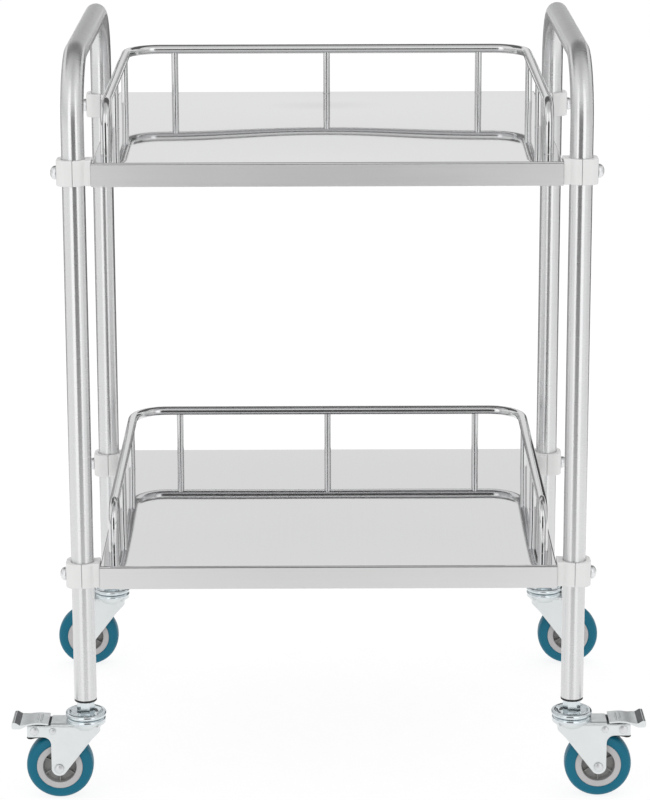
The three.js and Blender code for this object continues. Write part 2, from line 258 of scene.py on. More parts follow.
def rings_along(route, radius, sides):
    way = route[0][1]
    side = way.orthogonal().normalized()
    rings = []
    for point, tangent in route:
        side = way.rotation_difference(tangent) @ side
        way = tangent
        up = tangent.cross(side).normalized()
        turn = [2 * math.pi * k / sides for k in range(sides)]
        rings.append([point + side * radius * math.cos(a) + up * radius * math.sin(a) for a in turn])
    return rings


def lathe(bm, profile, centre=(0, 0, 0), axis="z", sides=64):
    """A turned surface from (radius, height) pairs. It closes if it starts and ends on the axis."""
    centre = Vector(centre)
    rings = []
    for radius, height in profile:
        ring = []
        for k in range(sides):
            a = 2 * math.pi * k / sides
            u, v = radius * math.cos(a), radius * math.sin(a)
            local = {"z": (u, v, height), "y": (v, height, u), "x": (height, u, v)}[axis]
            ring.append(centre + Vector(local))
        rings.append(ring)
    closed = profile[0][0] > 0 and profile[-1][0] > 0
    skin(bm, rings, loop=closed, caps=False)
    bmesh.ops.remove_doubles(bm, verts=bm.verts, dist=0.001 * MM)


def prism(bm, outline, low, high, axis="y"):
    """A flat outline pushed along an axis. The outline is (x, z) for y, (x, y) for z and (y, z) for x."""
    ends = []
    for level in (low, high):
        spots = {
            "y": [(u, level, v) for u, v in outline],
            "z": [(u, v, level) for u, v in outline],
            "x": [(level, u, v) for u, v in outline],
        }[axis]
        ends.append([Vector(p) for p in spots])
    skin(bm, ends)


def solid(name, build, sharp=35):
    """A closed piece from a function that fills a bmesh."""
    bm = bmesh.new()
    build(bm)
    bmesh.ops.recalc_face_normals(bm, faces=bm.faces)
    mark_sharp(bm, sharp)
    return link_object(name, bm)


def block(name, low, high):
    outline = [(low[0], low[2]), (high[0], low[2]), (high[0], high[2]), (low[0], high[2])]
    return solid(name, lambda bm: prism(bm, outline, low[1], high[1]))


# ---------------------------------------------------------------- material tools

class Nodes:
    """Short names for the node tree of one material."""

    def __init__(self, name):
        self.material = bpy.data.materials.new(name)
        self.material.use_nodes = True
        self.tree = self.material.node_tree
        self.shader = self.tree.nodes["Principled BSDF"]

    def add(self, kind, **values):
        node = self.tree.nodes.new("ShaderNode" + kind)
        for key, value in values.items():
            setattr(node, key, value)
        return node

    def link(self, source, target):
        self.tree.links.new(source, target)

    def spot(self, stretch, source="Object"):
        """Coordinates in metres (Object) or along a rod (UV), stretched for a grain."""
        coordinates = self.add("TexCoord")
        mapping = self.add("Mapping")
        mapping.inputs["Scale"].default_value = stretch
        self.link(coordinates.outputs[source], mapping.inputs["Vector"])
        return mapping.outputs["Vector"]

    def noise(self, vector, scale=1.0, detail=3.0, roughness=0.5):
        node = self.add("TexNoise")
        node.inputs["Scale"].default_value = scale
        node.inputs["Detail"].default_value = detail
        node.inputs["Roughness"].default_value = roughness
        self.link(vector, node.inputs["Vector"])
        return node.outputs["Fac"]

    def spread(self, value, low, high, start=0.3, end=0.7):
        node = self.add("MapRange")
        node.inputs["From Min"].default_value = start
        node.inputs["From Max"].default_value = end
        node.inputs["To Min"].default_value = low
        node.inputs["To Max"].default_value = high
        self.link(value, node.inputs["Value"])
        return node.outputs["Result"]

    def blend(self, value, first, second):
        node = self.add("Mix", data_type="RGBA")
        colours = [socket for socket in node.inputs if socket.type == "RGBA"]
        colours[0].default_value = (*first, 1)
        colours[1].default_value = (*second, 1)
        self.link(value, node.inputs["Factor"])
        return next(socket for socket in node.outputs if socket.type == "RGBA")

    def average(self, first, second):
        node = self.add("Mix", data_type="FLOAT")
        node.inputs["Factor"].default_value = 0.5
        self.link(first, node.inputs[2])
        self.link(second, node.inputs[3])
        return node.outputs[0]

    def grain_along(self):
        """Turns the anisotropy along the UV's length."""
        tangent = self.add("Tangent", direction_type="UV_MAP")
        self.link(tangent.outputs["Tangent"], self.shader.inputs["Tangent"])

    def bump(self, height, strength, distance):
        node = self.add("Bump")
        node.inputs["Strength"].default_value = strength
        node.inputs["Distance"].default_value = distance
        self.link(height, node.inputs["Height"])
        self.link(node.outputs["Normal"], self.shader.inputs["Normal"])

    def set(self, **values):
        for key, value in values.items():
            self.shader.inputs[key.replace("_", " ")].default_value = value

    def colour(self, value, first, second):
        self.link(self.blend(value, first, second), self.shader.inputs["Base Color"])

    def rough(self, value, low, high):
        self.link(self.spread(value, low, high), self.shader.inputs["Roughness"])


def tube_steel():
    """Satin tube: fine polishing lines round it, which stretch reflections along it."""
    m = Nodes("satin_tube_steel")
    m.set(Metallic=1.0, Anisotropic=0.9)
    lines = m.noise(m.spot((1400, 2, 1), "UV"), detail=2)
    cloud = m.noise(m.spot((9, 2, 1), "UV"), detail=4)
    m.colour(cloud, (0.70, 0.705, 0.71), (0.77, 0.77, 0.775))
    m.rough(lines, 0.27, 0.30)
    m.bump(lines, 0.0015, 0.03 * MM)
    m.grain_along()
    return m.material


def rod_steel():
    """Bright rod, smoother than the tube."""
    m = Nodes("bright_rod_steel")
    m.set(Metallic=1.0, Anisotropic=0.5)
    lines = m.noise(m.spot((900, 4, 1), "UV"), detail=2)
    m.colour(lines, (0.68, 0.685, 0.69), (0.76, 0.76, 0.765))
    m.rough(lines, 0.10, 0.15)
    m.bump(lines, 0.006, 0.03 * MM)
    m.grain_along()
    return m.material


def sheet_steel(name, rough, colours, stretch, depth):
    """Polished sheet with faint brush lines, which run where the stretch is small."""
    m = Nodes(name)
    m.set(Metallic=1.0)
    lines = m.noise(m.spot(stretch), detail=3)
    cloud = m.noise(m.spot((5, 5, 5)), detail=5)
    mixed = m.average(lines, cloud)
    m.colour(mixed, *colours)
    m.rough(mixed, *rough)
    m.bump(lines, 0.02, depth)
    return m.material


def zinc(name, rough, colours):
    """Zinc plate with a slight blue cast and soft mottling."""
    m = Nodes(name)
    m.set(Metallic=1.0)
    mottle = m.noise(m.spot((140, 140, 140)), detail=5, roughness=0.55)
    cloud = m.noise(m.spot((60, 60, 60)), detail=3)
    m.colour(cloud, *colours)
    m.rough(mottle, *rough)
    m.bump(mottle, 0.05, 0.05 * MM)
    return m.material


def plastic(name, rough, colours, grain, depth):
    """Moulded plastic with a fine grain, `grain` to the metre."""
    m = Nodes(name)
    m.set(Specular_IOR_Level=0.35)
    skin_grain = m.noise(m.spot((grain, grain, grain)), detail=4)
    cloud = m.noise(m.spot((45, 45, 45)), detail=3)
    m.colour(cloud, *colours)
    m.rough(skin_grain, *rough)
    m.bump(skin_grain, 0.15, depth)
    return m


def tread_rubber():
    """Teal polyurethane, slightly scuffed."""
    m = plastic("teal_tread", (0.30, 0.46), ((0.0015, 0.118, 0.188), (0.002, 0.142, 0.222)), 900, 0.04 * MM)
    m.set(Specular_IOR_Level=0.22, Coat_Weight=0.05, Coat_Roughness=0.25)
    return m.material


def nylon(name, rough, colours, grain=700, depth=0.03 * MM):
    return plastic(name, rough, colours, grain, depth).material


def grey(low, high):
    """The two ends of a neutral colour."""
    return (low, low, low), (high, high, high)


TUBE_STEEL = tube_steel()
ROD_STEEL = rod_steel()
SHELF_TOP = sheet_steel(
    "polished_shelf_top",
    (0.015, 0.045),
    ((0.70, 0.70, 0.71), (0.75, 0.75, 0.755)),
    (1400, 6, 6),
    0.004 * MM,
)
SHELF_RIM = sheet_steel("satin_shelf_rim", (0.46, 0.54), grey(0.76, 0.82), (5, 5, 700), 0.01 * MM)
ZINC = zinc("zinc_plate", (0.30, 0.40), ((0.71, 0.745, 0.755), (0.77, 0.79, 0.79)))
BRIGHT_ZINC = zinc("bright_zinc", (0.12, 0.20), ((0.60, 0.68, 0.71), (0.78, 0.81, 0.83)))
# A dark copy of the zinc: painted shade for the slope of the pedal's toe.
TOE_SHADE_ZINC = zinc("painted_toe_shade_zinc", (0.40, 0.50), ((0.14, 0.15, 0.155), (0.20, 0.21, 0.215)))
BRIGHT_BOLT = zinc("bright_bolt", (0.30, 0.40), ((0.76, 0.77, 0.78), (0.84, 0.84, 0.85)))
RIVET = zinc("plated_rivet", (0.38, 0.46), ((0.66, 0.68, 0.69), (0.74, 0.75, 0.76)))
WHITE = nylon("white_nylon", (0.36, 0.5), ((0.71, 0.71, 0.705), (0.75, 0.75, 0.745)))
BLACK = nylon("black_polymer", (0.4, 0.55), grey(0.012, 0.02))
GREY = nylon("light_grey_nylon", (0.4, 0.55), ((0.44, 0.43, 0.435), (0.50, 0.49, 0.495)), 800, 0.04 * MM)
# A darker grey for the hub's recess: painted shade.
RECESS_SHADE_GREY = nylon(
    "grey_nylon_painted_recess_shade", (0.5, 0.65), ((0.24, 0.24, 0.235), (0.31, 0.31, 0.305)), 600, 0.05 * MM
)
TREAD = tread_rubber()


def place(obj, body, slot, nodes, *materials):
    """Gives a piece its materials, its body and the nodes that it stands for; its slot is not used."""
    for material in materials:
        obj.data.materials.append(material)
    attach(obj, body)
    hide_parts(*nodes)
    return obj


# ---------------------------------------------------------------- side frames

def side_frame(side):
    node = f"{side}_side_frame"
    lo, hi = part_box(node)
    radius = (hi.x - lo.x) / 2
    x = (lo.x + hi.x) / 2
    front, rear, top = lo.y + radius, hi.y - radius, hi.z - radius
    corners = [(x, front, lo.z), (x, front, top), (x, rear, top), (x, rear, lo.z)]
    route = long_runs(bent_route(corners, (HANDLE_BEND, HANDLE_BEND), 20), 40 * MM)

    def build(bm):
        outer = rings_along(route, radius, 48)
        inner = rings_along(route, radius - TUBE_WALL, 48)
        skin(bm, outer + inner[::-1], loop=True)

    obj = solid(f"{side}_frame_tube", build, sharp=60)
    place(obj, "frame", "stainless_tube", [node], TUBE_STEEL)


# ---------------------------------------------------------------- shelves

def sag(x, y, half_x, half_y, slopes):
    """The slight waviness of a thin sheet between its stiff rims, as heights in metres."""
    window = (1 - (x / half_x) ** 4) * (1 - (y / half_y) ** 4)
    slope = slopes.lean + slopes.sway * math.sin(math.pi * x / SAG_PERIOD) ** 2
    ripple = RIPPLE.height * math.cos(RIPPLE.across * x + RIPPLE.start) * math.cos(RIPPLE.along * y)
    return window * (ripple - slope / SAG_RATE * math.sin(SAG_RATE * (y - SAG_CENTRE)))


def sheet_top(bm, half_x, half_y, top, slopes):
    """The sagging grid between the rim bends. Returns its outer vertices in order."""
    cells_x, cells_y = 48, 40
    grid = {}
    for i in range(cells_x + 1):
        for j in range(cells_y + 1):
            x = half_x * (2 * i / cells_x - 1)
            y = half_y * (2 * j / cells_y - 1)
            grid[i, j] = bm.verts.new((x, y, top + sag(x, y, half_x, half_y, slopes)))
    for i in range(cells_x):
        for j in range(cells_y):
            bm.faces.new((grid[i, j], grid[i + 1, j], grid[i + 1, j + 1], grid[i, j + 1]))
    edge = [grid[i, 0] for i in range(cells_x)]
    edge += [grid[cells_x, j] for j in range(cells_y)]
    edge += [grid[i, cells_y] for i in range(cells_x, 0, -1)]
    edge += [grid[0, j] for j in range(cells_y, 0, -1)]
    return edge


def sheet_rim(bm, edge, half_x, half_y, top, depth):
    """Folds the sheet down all round: a small round bend, then the flat rim in the second material."""

    def outwards(value, half, out):
        on_edge = abs(abs(value) - half) < 0.001 * MM
        return value + math.copysign(out, value) if on_edge else value

    bends = 4
    turns = [math.pi / 2 * k / bends for k in range(1, bends + 1)]
    steps = [(SHELF_BEND * math.sin(a), SHELF_BEND * (1 - math.cos(a))) for a in turns]
    steps.append((SHELF_BEND, depth))
    row = edge
    for index, (out, down) in enumerate(steps):
        below = []
        for v in edge:
            x = outwards(v.co.x, half_x, out)
            y = outwards(v.co.y, half_y, out)
            below.append(bm.verts.new((x, y, top - down)))
        for k in range(len(edge)):
            n = (k + 1) % len(edge)
            face = bm.faces.new((row[k], row[n], below[n], below[k]))
            face.material_index = 1 if index == bends else 0
        row = below


def shelf(level):
    node = f"{level}_shelf"
    lo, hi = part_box(node)
    half_x = (hi.x - lo.x) / 2 - SHELF_BEND
    half_y = (hi.y - lo.y) / 2 - SHELF_BEND
    bm = bmesh.new()
    edge = sheet_top(bm, half_x, half_y, hi.z, SAG_SLOPES[level])
    sheet_rim(bm, edge, half_x, half_y, hi.z, hi.z - lo.z)
    bm.normal_update()
    bmesh.ops.recalc_face_normals(bm, faces=bm.faces)
    bm.faces.ensure_lookup_table()
    if bm.faces[0].normal.z < 0:
        bmesh.ops.reverse_faces(bm, faces=bm.faces)
    obj = link_object(f"{level}_shelf_pan", bm)
    thick = obj.modifiers.new("sheet", "SOLIDIFY")
    thick.thickness = SHEET
    thick.offset = -1
    thick.use_even_offset = True
    settle(obj, sharp=50)
    even_normals(obj)
    place(obj, "frame", "polished_sheet", [node], SHELF_TOP, SHELF_RIM)


# ---------------------------------------------------------------- guard rails

def guard_rail(level):
    node = f"{level}_guard_rail"
    lo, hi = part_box(node)
    shelf_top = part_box(f"{level}_shelf")[1].z
    x, top = hi.x - ROD.radius, hi.z - ROD.radius
    front, back = lo.y + ROD.radius, hi.y - ROD.radius
    corners = [
        (-x, front, shelf_top),
        (-x, front, top),
        (-x, back, top),
        (x, back, top),
        (x, front, top),
        (x, front, shelf_top),
    ]
    route = bent_route(corners, (ROD.drop, ROD.corner, ROD.corner, ROD.drop), 14)
    stands = [(px, back) for px in REAR_BALUSTERS]
    stands += [(side * x, y) for side in (-1, 1) for y in SIDE_BALUSTERS]

    def build(bm):
        skin(bm, rings_along(long_runs(route, 30 * MM), ROD.radius, 28))
        for px, py in stands:
            run = [(Vector((px, py, z)), Vector((0, 0, 1))) for z in (shelf_top, top)]
            skin(bm, rings_along(run, BALUSTER_RADIUS, 20))
            weld_ring(bm, px, py, shelf_top, BALUSTER_RADIUS)
        for side in (-1, 1):
            weld_ring(bm, side * x, front, shelf_top, ROD.radius)

    obj = solid(f"{level}_rail_rod", build, sharp=60)
    place(obj, "frame", "stainless_rod", [node], ROD_STEEL)


def weld_ring(bm, x, y, z, radius):
    """The small bead round a foot."""
    bead = ROD.bead
    profile = [(radius - bead, 0), *[(radius + u, v) for u, v in arc(0, 0, bead, 0, 90, 4)]]
    profile.append((radius - bead, bead))
    lathe(bm, profile, (x, y, z), sides=24)


# ---------------------------------------------------------------- corner clamps

def clamp_nose(near, far, half):
    """The outside of an outer half: flat by the tube and round at its far corners."""
    nose = CLAMP.nose
    outline = [(near, -half)]
    outline += arc(far - nose, -half + nose, nose, -90, 0)
    outline += arc(far - nose, half - nose, nose, 0, 90)
    return outline + [(near, half)]


def clamp_waist(near, far, half):
    """The outside of an inner half: round about the tube, then straight to the shelf's rim."""
    lean = math.degrees(math.asin(near / half))
    side = half * math.sin(math.radians(CLAMP.turn)) + CLAMP.flare
    outline = arc(0, 0, half, -90 + lean, -CLAMP.turn, 8)
    outline += [(far, -side), (far, side)]
    return outline + arc(0, 0, half, CLAMP.turn, 90 - lean, 8)


def clamp_half(level, corner, kind):
    node = f"clamp_{kind}_{level}_{corner}"
    lo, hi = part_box(node)
    post = middle(f"tube_plug_{corner}")
    away = math.copysign(1, post.x) * (1 if kind == "outer" else -1)
    near, far = sorted(abs(x - post.x) for x in (lo.x, hi.x))
    half = (hi.y - lo.y) / 2
    bore = reach(f"tube_plug_{corner}").x + CLAMP.play
    mouth = math.degrees(math.asin(near / bore))
    outside = clamp_nose if kind == "outer" else clamp_waist
    outline = outside(near, far, half) + arc(0, 0, bore, 90 - mouth, -90 + mouth, 32)
    local = [(post.x + away * u, post.y + v) for u, v in outline]
    obj = solid(f"{level}_{corner}_clamp_{kind}", lambda bm: prism(bm, local, lo.z, hi.z, "z"))
    bevel(obj, CLAMP.edge, 4)
    even_normals(obj)
    place(obj, "frame", "white_plastic", [node], WHITE)


def dome(radius, seat, shoulder, top, steps, count):
    """The outside of a domed head: a short straight shoulder, then the round up towards the top."""
    turns = [math.pi / 2 * k / steps for k in range(1, count + 1)]
    crown = [(radius * math.cos(a), shoulder + (top - shoulder) * math.sin(a)) for a in turns]
    return [(radius, seat), (radius, shoulder), *crown]


def clamp_bolt(level, corner):
    node = f"clamp_bolt_{level}_{corner}"
    lo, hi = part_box(node)
    centre = (lo + hi) / 2
    side = math.copysign(1, centre.x)
    tip, end = (lo.x, hi.x) if side > 0 else (-hi.x, -lo.x)
    seat = end - BOLT.height
    profile = [(0, tip), (BOLT.shaft, tip), (BOLT.shaft, seat)]
    profile += dome((hi.y - lo.y) / 2, seat, seat + BOLT.shoulder, end, 10, 8)
    profile += [(BOLT.socket, end - BOLT.rim), (BOLT.socket, end - BOLT.depth), (0, end - BOLT.depth)]
    outline = [(r, side * h) for r, h in profile]
    obj = solid(
        f"{level}_{corner}_clamp_bolt",
        lambda bm: lathe(bm, outline, (0, centre.y, centre.z), "x", 40),
    )
    place(obj, "frame", "plated_bolt", [node], BRIGHT_BOLT)


# ---------------------------------------------------------------- casters

class Caster:
    """The sizes of one caster about its stem axis, read from the frame."""

    def __init__(self, corner):
        self.corner = corner
        self.place = corner_place(corner)
        self.braked = corner.startswith("front")
        self.stem_x = middle(f"tube_plug_{corner}").x
        side = math.copysign(1, self.stem_x)
        lo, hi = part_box(f"caster_fork_{corner}")
        self.fork_back, self.fork_reach = sorted(side * (x - self.stem_x) for x in (lo.x, hi.x))
        self.fork_top = hi.z - CROWN.height
        self.cheek_outer = reach(f"wheel_axle_{corner}").y - AXLE.seat
        self.cheek_inner = self.cheek_outer - FORK.sheet
        self.trail = side * (middle(f"tyre_{corner}").x - self.stem_x)
        self.wheel_radius = reach(f"tyre_{corner}").z
        self.wheel_half = reach(f"tyre_{corner}").y
        self.wheel_centre = (self.trail, 0, self.wheel_radius)
        self.fork_front = self.trail + FORK.eye
        self.plug_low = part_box(f"tube_plug_{corner}")[0].z
        self.tube_radius = reach(f"tube_plug_{corner}").x
        self.cup_radius = reach(f"caster_stem_{corner}").x
        self.pin_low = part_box(f"caster_stem_{corner}")[0].z

    def put(self, obj, body, slot, node, *materials):
        """Moves a piece from caster coordinates to its corner, and places it."""
        obj.data.transform(self.place)
        place(obj, body, slot, [f"{node}_{self.corner}"], *materials)


def tube_plug(c):
    body = c.tube_radius - TUBE_WALL - PLUG.play
    low, high = c.plug_low, c.plug_low + PLUG.height
    lip = low + PLUG.lip
    corners = [
        (PLUG.hole, low, 0),
        (c.tube_radius, low),
        (c.tube_radius, lip),
        (body, lip),
        (body, high),
        (PLUG.hole, high, 0),
    ]
    profile = fillet(corners, PLUG.edge, 3)
    obj = solid(f"{c.corner}_tube_plug", lambda bm: lathe(bm, profile, sides=48))
    c.put(obj, "frame", "black_plastic", "tube_plug", BLACK)


def stem_profile(c, seat, floor):
    """The turned outline of the stem: pin head, kingpin, race cup with a rolled lip, neck and shaft."""
    low, lip = c.pin_low, c.cup_radius
    centre = lip - CUP_LIP.radius
    rolled = arc(centre, seat + CUP_LIP.height, CUP_LIP.radius, -80, 160, 16)
    return [
        (0, low),
        (STEM.head - 1 * MM, low),
        (STEM.head, low + 1 * MM),
        (STEM.head, low + 2.4 * MM),
        (STEM.pin, low + 2.5 * MM),
        (STEM.pin, seat),
        (lip - 5 * MM, seat),
        (lip - 3.5 * MM, seat + 0.1 * MM),
        *rolled,
        (lip - 6.5 * MM, floor + 1.6 * MM),
        (lip - 9 * MM, floor),
        (STEM.shaft + 3.4 * MM, floor),
        (STEM.shaft + 2.6 * MM, floor + 0.8 * MM),
        (STEM.shaft + 2.6 * MM, floor + 2 * MM),
        (STEM.shaft, floor + 3 * MM),
        (STEM.shaft, STEM.top),
        (0, STEM.top),
    ]


def stem_collar(floor, top):
    """The hexagonal collar in the cup, with its corners turned off at both ends."""
    corner = COLLAR.apothem / math.cos(math.pi / 6)
    turned, outer = COLLAR.apothem + 0.2 * MM, corner + 0.1 * MM
    hexagon = arc(0, 0, corner, 0, 300, 5)
    profile = [
        (0, floor),
        (turned, floor),
        (outer, floor + COLLAR.chamfer),
        (outer, top - COLLAR.chamfer),
        (turned, top + 0.4 * MM),
        (0, top + 0.4 * MM),
    ]
    collar = solid("collar", lambda bm: prism(bm, hexagon, floor + 0.4 * MM, top, "z"))
    return boolean(collar, solid("turned", lambda bm: lathe(bm, profile, sides=48)), "INTERSECT")


def caster_stem(c):
    seat = c.fork_top + CROWN.height + STEM.gap
    floor = seat + STEM.dish
    obj = solid(f"{c.corner}_caster_stem", lambda bm: lathe(bm, stem_profile(c, seat, floor)))
    boolean(obj, stem_collar(floor, c.plug_low - STEM.gap), "UNION")
    c.put(obj, "frame", "zinc_steel", "caster_stem", BRIGHT_ZINC)


def cheek_outline(c):
    """The side view of the fork, from the crown's back edge round the axle eye to the wing."""
    eye = (c.trail, c.wheel_radius)
    run = Vector((eye[0] - KNEE[0], KNEE[1] - eye[1]))
    slope = math.degrees(math.atan2(run.y, run.x) + math.asin(FORK.eye / run.length))
    over = c.fork_top + 1 * MM
    outline = [(c.fork_back, over), (c.fork_back, c.fork_top - FORK.plate), KNEE]
    outline += arc(*eye, FORK.eye, 270 - slope, 360, 20)
    if c.braked:
        outline += arc(c.fork_front + WING.fillet, WING.low - WING.fillet, WING.fillet, 180, 90, 10)
        outline += arc(c.fork_reach - WING.round, WING.low + WING.round, WING.round, -90, 0, 5)
        outline += arc(c.fork_reach - WING.round, WING.high - WING.round, WING.round, 0, 90, 5)
        outline += [(c.fork_front, WING.high)]
    outline += [(c.fork_front, over)]
    return outline


def fork_channel(c):
    """The folded U of the fork before its outline is cut: a (y, z) section pushed along X."""
    outer, inner, top = c.cheek_outer, c.cheek_inner, c.fork_top
    bend, inside = FORK.bend, FORK.bend - FORK.sheet
    low = 20 * MM
    section = [(-outer, low), *arc(-outer + bend, top - bend, bend, 180, 90, 6)]
    section += [*arc(outer - bend, top - bend, bend, 90, 0, 6), (outer, low)]
    section += [(inner, low), *arc(inner - inside, top - bend, inside, 0, 90, 6)]
    section += [*arc(-inner + inside, top - bend, inside, 90, 180, 6), (-inner, low)]
    ends = (c.fork_back - 1 * MM, c.fork_reach + 1 * MM)
    return solid(f"{c.corner}_caster_fork", lambda bm: prism(bm, section, *ends, "x"))


def crown_bowl(c):
    """The bowl under the cup: a rounded rim, then a curve that runs in to the cheeks."""
    top = c.fork_top + CROWN.height
    under = c.fork_top - FORK.plate
    skirt = c.fork_top - 12 * MM
    inner = CROWN.root - CROWN.wall
    inwards = [(9.4, 16), (6.2, 12.5), (3.2, 9), (1.3, 6)]  # mm in from the rim and down from the top
    profile = [(inner, skirt), (CROWN.root, skirt)]
    profile += [(CROWN.rim - inset * MM, top - drop * MM) for inset, drop in inwards]
    profile += arc(CROWN.rim - CROWN.bead, top - CROWN.bead, CROWN.bead, -50, 90, 10)
    profile += [(CROWN.bore, top), (CROWN.bore, under), (inner, under)]
    return solid("bowl", lambda bm: lathe(bm, profile))


def inside_crown():
    """Behind the stem axis the fork keeps inside the crown's circle."""
    ahead = 80 * MM
    plan = arc(0, 0, FORK.plan, 90, 270, 32) + [(ahead, -FORK.plan), (ahead, FORK.plan)]
    return solid("plan", lambda bm: prism(bm, plan, 20 * MM, 100 * MM, "z"))


def caster_fork(c):
    obj = fork_channel(c)
    cheek = solid("cheek", lambda bm: prism(bm, cheek_outline(c), -30 * MM, 30 * MM))
    boolean(obj, cheek, "INTERSECT")
    boolean(obj, inside_crown(), "INTERSECT")
    if c.braked:
        low = (c.fork_front, -c.cheek_inner, c.fork_top - 8 * MM)
        high = (c.fork_reach + 5 * MM, c.cheek_inner, c.fork_top + 5 * MM)
        boolean(obj, block("slot", low, high), "DIFFERENCE")
    boolean(obj, crown_bowl(c), "UNION")
    bevel(obj, 0.35 * MM, 2, 50)
    even_normals(obj)
    for face in obj.data.polygons:
        x, y, z = face.center
        on_crown = z > c.fork_top + 0.1 * MM and x < c.fork_front - 1 * MM
        face.material_index = 1 if on_crown and math.hypot(x, y) > 17 * MM else 0
    c.put(obj, f"caster_{c.corner}", "zinc_steel", "caster_fork", ZINC, BRIGHT_ZINC)


def rivet(c, node, x, z, shaft, head, height):
    """A pin along Y with a low dome at each end."""
    end = reach(f"{node}_{c.corner}").y
    seat = end - height
    half = [(shaft, seat), *dome(head, seat, seat + 0.25 * height, end, 6, 5), (0, end)]
    profile = [(r, -h) for r, h in reversed(half)] + half
    obj = solid(f"{c.corner}_{node}", lambda bm: lathe(bm, profile, (x, 0, z), "y", 40))
    c.put(obj, f"caster_{c.corner}", "plated_bolt", node, RIVET)


def wheel_hub(c):
    box = reach(f"wheel_hub_{c.corner}")
    rim, boss_half = box.z - HUB.inset, box.y
    corners = [
        (rim, 0, 0),
        (rim, HUB.half, 1 * MM),
        (HUB.recess, HUB.half, 0.8 * MM),
        (HUB.recess - 1 * MM, HUB.web, 1.2 * MM),
        (HUB.boss + 1 * MM, HUB.web, 1 * MM),
        (HUB.boss, boss_half, 0.5 * MM),
        (HUB.bore, boss_half, 0),
        (HUB.bore, 0, 0),
    ]
    half = fillet(corners, 0, 4, closed=False)
    profile = [(r, -h) for r, h in reversed(half[1:-1])] + half[:-1]

    def build(bm):
        lathe(bm, profile, c.wheel_centre, "y", 72)
        for side in (-1, 1):
            for k in range(HUB_RIBS):
                hub_rib(bm, c, side, 2 * math.pi * (k + 0.5) / HUB_RIBS)

    obj = solid(f"{c.corner}_wheel_hub", build)
    # The faces inside the recess get the darker grey as painted shade.
    for face in obj.data.polygons:
        radius = math.hypot(face.center.x - c.trail, face.center.z - c.wheel_radius)
        face.material_index = 1 if radius < HUB.recess - 0.2 * MM else 0
    c.put(obj, f"wheel_{c.corner}", "grey_plastic", "wheel_hub", GREY, RECESS_SHADE_GREY)


def hub_rib(bm, c, side, angle):
    """A thin rib across the recess, lower towards the boss."""
    half = 0.6 * MM
    inner, outer, root = HUB.boss - 1 * MM, HUB.recess, HUB.web - 1 * MM
    outward = Vector((math.cos(angle), 0, math.sin(angle)))
    across = Vector((-math.sin(angle), 0, math.cos(angle))) * half
    centre = Vector(c.wheel_centre)
    levels = [(inner, root), (outer, root), (outer, HUB.half - 3.6 * MM), (inner, HUB.half - 5.6 * MM)]
    rings = []
    for sign in (-1, 1):
        rings.append([centre + outward * r + Vector((0, side * h, 0)) + across * sign for r, h in levels])
    skin(bm, rings)


def tyre(c):
    """A flat tread with two shallow grooves a side, then a rounded shoulder down to the hub."""
    radius, half_width = c.wheel_radius, c.wheel_half
    bore = reach(f"wheel_hub_{c.corner}").z - HUB.inset
    half = [
        (radius, 0),
        (radius - 0.05 * MM, 3.2 * MM),
        (radius - 0.45 * MM, 3.6 * MM),
        (radius - 0.15 * MM, 4 * MM),
        (radius - 0.45 * MM, 7.2 * MM),
        (radius - 1.0 * MM, 7.6 * MM),
        (radius - 0.8 * MM, 8 * MM),
        (radius - 1.6 * MM, 9.8 * MM),
        (radius - 3.4 * MM, half_width - 0.7 * MM),
        (radius - 5.2 * MM, half_width - 0.1 * MM),
        (radius - 6.5 * MM, half_width),
        (bore + 1.2 * MM, half_width - 0.5 * MM),
        (bore + 0.4 * MM, half_width - 0.9 * MM),
        (bore, half_width - 1.4 * MM),
    ]
    profile = [(r, -h) for r, h in reversed(half[1:])] + half
    obj = solid(f"{c.corner}_tyre", lambda bm: lathe(bm, profile, c.wheel_centre, "y", 96))
    c.put(obj, f"wheel_{c.corner}", "teal_polyurethane", "tyre", TREAD)


# ---------------------------------------------------------------- brakes

def smooth(x, start, end):
    """Rises from 0 at the start to 1 at the end, and is level at both."""
    t = min(1.0, max(0.0, (x - start) / (end - start)))
    return t * t * (3 - 2 * t)


def pedal_rise(x, end):
    """Height of the pedal over its hinge end: a slight hump, a dip, then the ridge of the toe."""
    hump = HUMP.height * math.exp(-(((x - HUMP.x) / HUMP.width) ** 2))
    dip = DIP.depth * smooth(x, DIP.x, end - DIP.before_end)
    ridge = TOE.rise * smooth(x, end - TOE.ridge, end - TOE.crest)
    return hump - dip + ridge


def pedal_top(end):
    """The pedal's outer outline in side view, from the hinge over the toe and down its front."""
    steps = 44
    last = end - PEDAL.nose
    xs = [PEDAL.start + (last - PEDAL.start) * k / steps for k in range(steps + 1)]
    points = [(x, PEDAL.top + pedal_rise(x, end)) for x in xs]
    return points + arc(last, points[-1][1] - PEDAL.nose, PEDAL.nose, 80, 0, 6)


def pedal_flange(c, top, end, y):
    """The turned-down side of the pedal, low at the hinge and deep at the toe."""
    foot = PEDAL.top - PEDAL.skirt
    outline = [(x, z) for x, z in top if x > c.fork_reach - 4 * MM]
    first_x, first_z = outline[0]
    outline += [(end, foot + 3 * MM), (end - 3 * MM, foot), (end - 9 * MM, foot)]
    outline += [(c.fork_reach + 2 * MM, foot + 2.4 * MM), (first_x, first_z - PEDAL.sheet)]
    low, high = sorted((y, y - math.copysign(PEDAL.sheet, y)))
    return solid("flange", lambda bm: prism(bm, outline, low, high))


